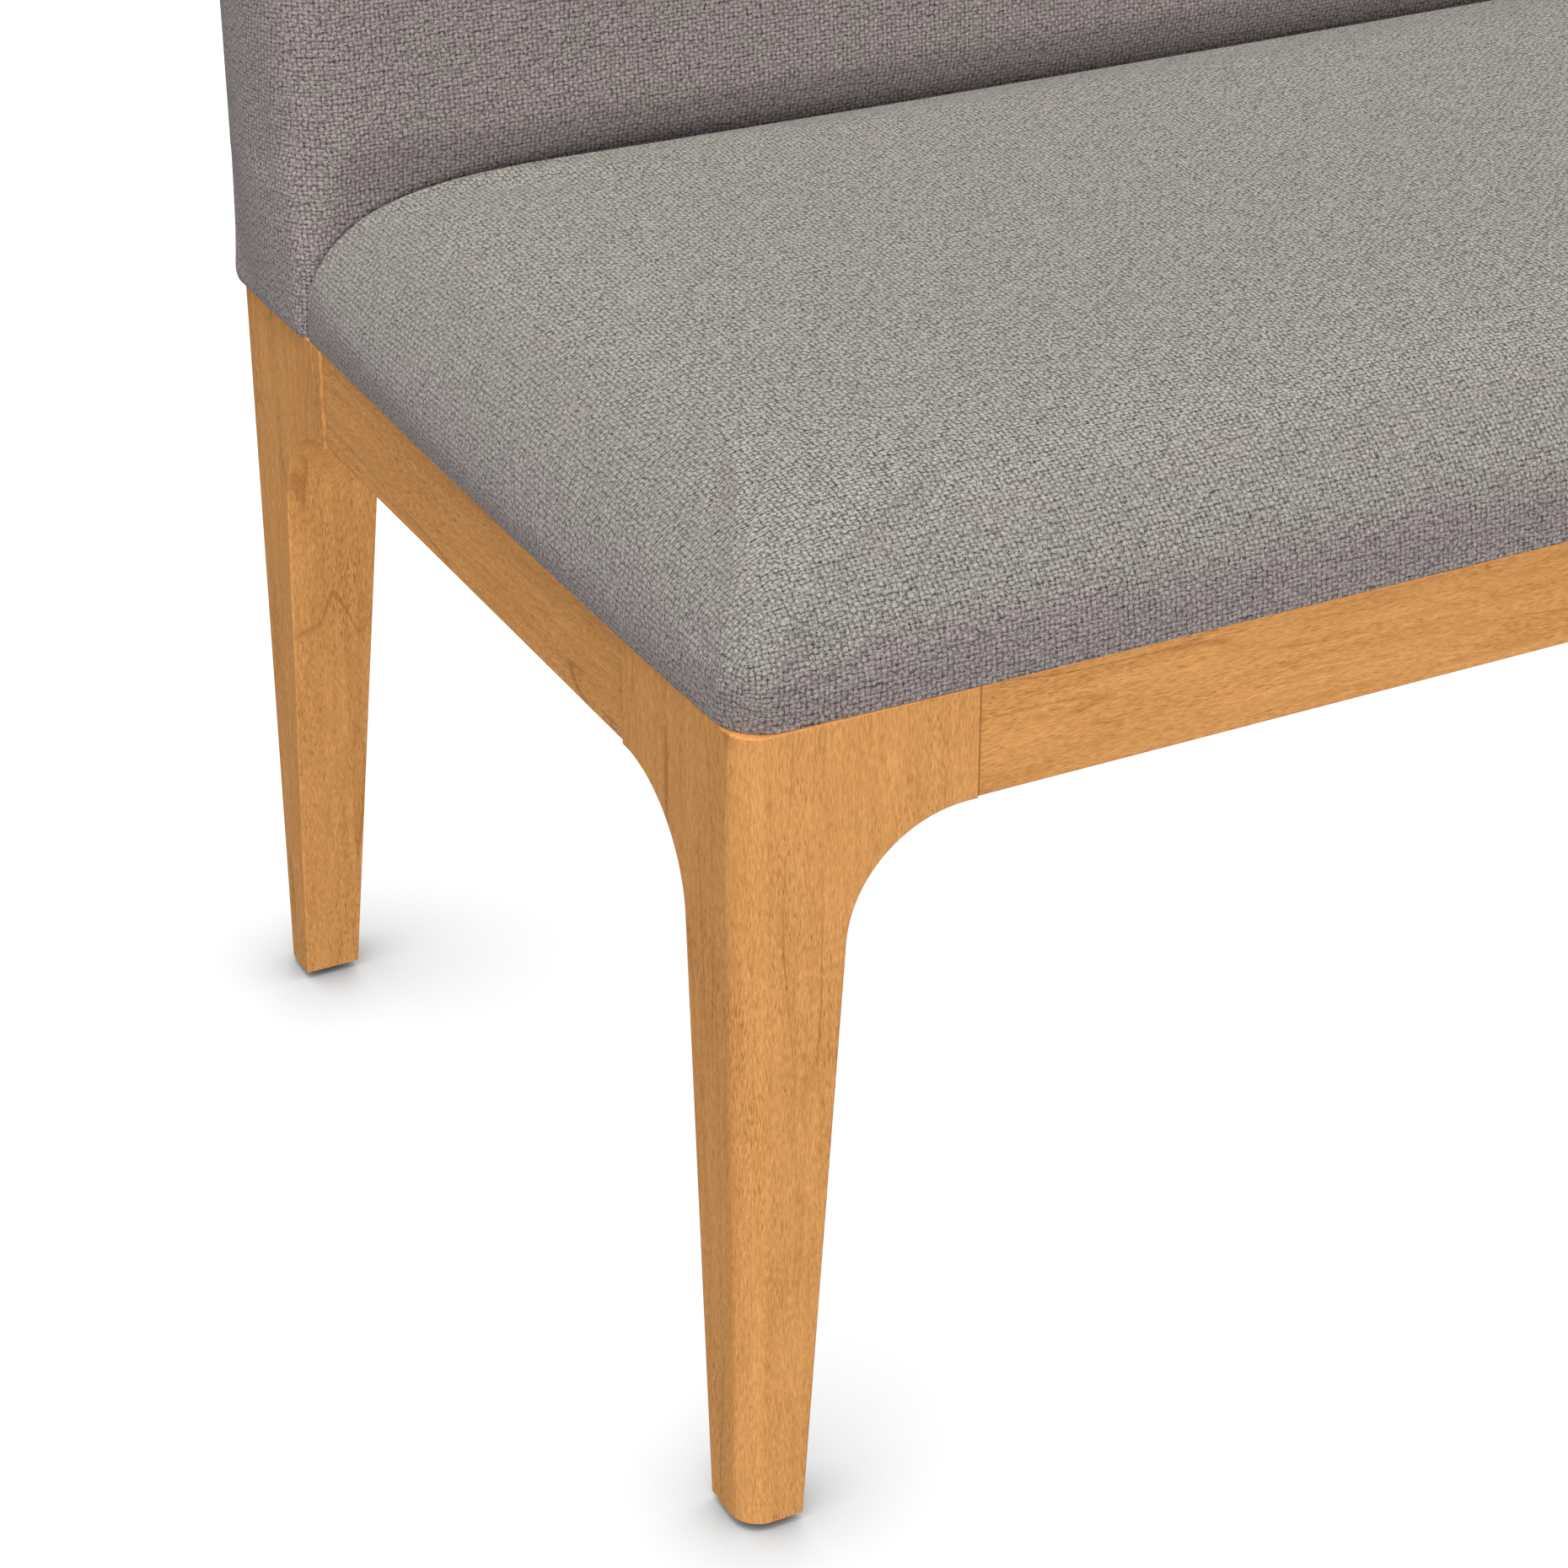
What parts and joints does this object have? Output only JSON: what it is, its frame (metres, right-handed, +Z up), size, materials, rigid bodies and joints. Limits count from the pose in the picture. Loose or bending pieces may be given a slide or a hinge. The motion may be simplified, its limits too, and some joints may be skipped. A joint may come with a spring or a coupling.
{
  "type": "upholstered dining banquette",
  "caption": "Dining banquette: padded fabric seat and full-length padded back on a timber base with coved, tapering legs and screw-adjustable levelling glides.",
  "frame": {"origin": "on the floor, under the centre of the whole bench", "axes": "+X along the bench, to a sitter's left; +Y from the seat's front to the rear; +Z up"},
  "size_m": [1.326, 0.5658, 0.86],
  "materials": {
    "show_wood": "satin, golden oiled timber",
    "frame_wood": "raw planed timber",
    "upholstery": "coarse woven, matt",
    "padding": "foam and wadding, matt",
    "webbing": "woven elastic, matt",
    "dust_cloth": "thin unwoven cloth, matt",
    "steel": "zinc plated",
    "glide_plastic": "dark, matt"
  },
  "bodies": {
    "bench": {"back_bolts": "steel", "back_bottom_rail": "frame_wood", "back_cover": "upholstery", "back_end_post_left": "frame_wood", "back_end_post_right": "frame_wood", "back_foam": "padding", "back_frame_screws": "steel", "back_inserts": "steel", "back_middle_rail": "frame_wood", "back_panel": "frame_wood", "back_stile_centre": "frame_wood", "back_stile_left": "frame_wood", "back_stile_right": "frame_wood", "back_top_rail": "frame_wood", "back_wadding": "padding", "back_washers": "steel", "back_webbing": "webbing", "bearer_dowels": "frame_wood", "bearer_left": "frame_wood", "bearer_right": "frame_wood", "block_screws": "steel", "corner_block_front_left": "frame_wood", "corner_block_front_right": "frame_wood", "corner_block_rear_left": "frame_wood", "corner_block_rear_right": "frame_wood", "dust_cover": "dust_cloth", "glide_inserts": "steel", "leg_front_left": "show_wood", "leg_front_right": "show_wood", "leg_rear_left": "show_wood", "leg_rear_right": "show_wood", "rail_dowels": "frame_wood", "rail_front": "show_wood", "rail_left": "show_wood", "rail_rear": "show_wood", "rail_right": "show_wood", "seat_cover": "upholstery", "seat_crossbar_left": "frame_wood", "seat_crossbar_right": "frame_wood", "seat_foam": "padding", "seat_frame_dowels": "frame_wood", "seat_frame_front": "frame_wood", "seat_frame_left": "frame_wood", "seat_frame_rear": "frame_wood", "seat_frame_right": "frame_wood", "seat_screws": "steel", "seat_wadding": "padding", "seat_webbing_cross": "webbing", "seat_webbing_long": "webbing"},
    "glide_pad_front_left": {"glide_pad_front_left": "glide_plastic"},
    "glide_stud_front_left": {"glide_stud_front_left": "steel"},
    "glide_pad_front_right": {"glide_pad_front_right": "glide_plastic"},
    "glide_stud_front_right": {"glide_stud_front_right": "steel"},
    "glide_pad_rear_left": {"glide_pad_rear_left": "glide_plastic"},
    "glide_stud_rear_left": {"glide_stud_rear_left": "steel"},
    "glide_pad_rear_right": {"glide_pad_rear_right": "glide_plastic"},
    "glide_stud_rear_right": {"glide_stud_rear_right": "steel"}
  },
  "joints": [
    {"name": "glide_lift_front_left", "type": "slide", "parent": "bench", "child": "glide_pad_front_left", "axis": [0, 0, -1], "range_m": [0, 0.01]},
    {"name": "glide_turn_front_left", "type": "hinge", "parent": "glide_pad_front_left", "child": "glide_stud_front_left", "pos_m": [-0.64525, -0.26425, 0.004], "axis": [0, 0, -1], "range_deg": [0, 2881]},
    {"name": "glide_lift_front_right", "type": "slide", "parent": "bench", "child": "glide_pad_front_right", "axis": [0, 0, -1], "range_m": [0, 0.01]},
    {"name": "glide_turn_front_right", "type": "hinge", "parent": "glide_pad_front_right", "child": "glide_stud_front_right", "pos_m": [0.64525, -0.26425, 0.004], "axis": [0, 0, -1], "range_deg": [0, 2881]},
    {"name": "glide_lift_rear_left", "type": "slide", "parent": "bench", "child": "glide_pad_rear_left", "axis": [0, 0, -1], "range_m": [0, 0.01]},
    {"name": "glide_turn_rear_left", "type": "hinge", "parent": "glide_pad_rear_left", "child": "glide_stud_rear_left", "pos_m": [-0.64525, 0.26125, 0.004], "axis": [0, 0, -1], "range_deg": [0, 2881]},
    {"name": "glide_lift_rear_right", "type": "slide", "parent": "bench", "child": "glide_pad_rear_right", "axis": [0, 0, -1], "range_m": [0, 0.01]},
    {"name": "glide_turn_rear_right", "type": "hinge", "parent": "glide_pad_rear_right", "child": "glide_stud_rear_right", "pos_m": [0.64525, 0.26125, 0.004], "axis": [0, 0, -1], "range_deg": [0, 2881]}
  ],
  "couplings": [
    {"joint": "glide_turn_front_left", "follows": "glide_lift_front_left", "rad_per_m": 5026.5},
    {"joint": "glide_turn_front_right", "follows": "glide_lift_front_right", "rad_per_m": 5026.5},
    {"joint": "glide_turn_rear_left", "follows": "glide_lift_rear_left", "rad_per_m": 5026.5},
    {"joint": "glide_turn_rear_right", "follows": "glide_lift_rear_right", "rad_per_m": 5026.5}
  ]
}
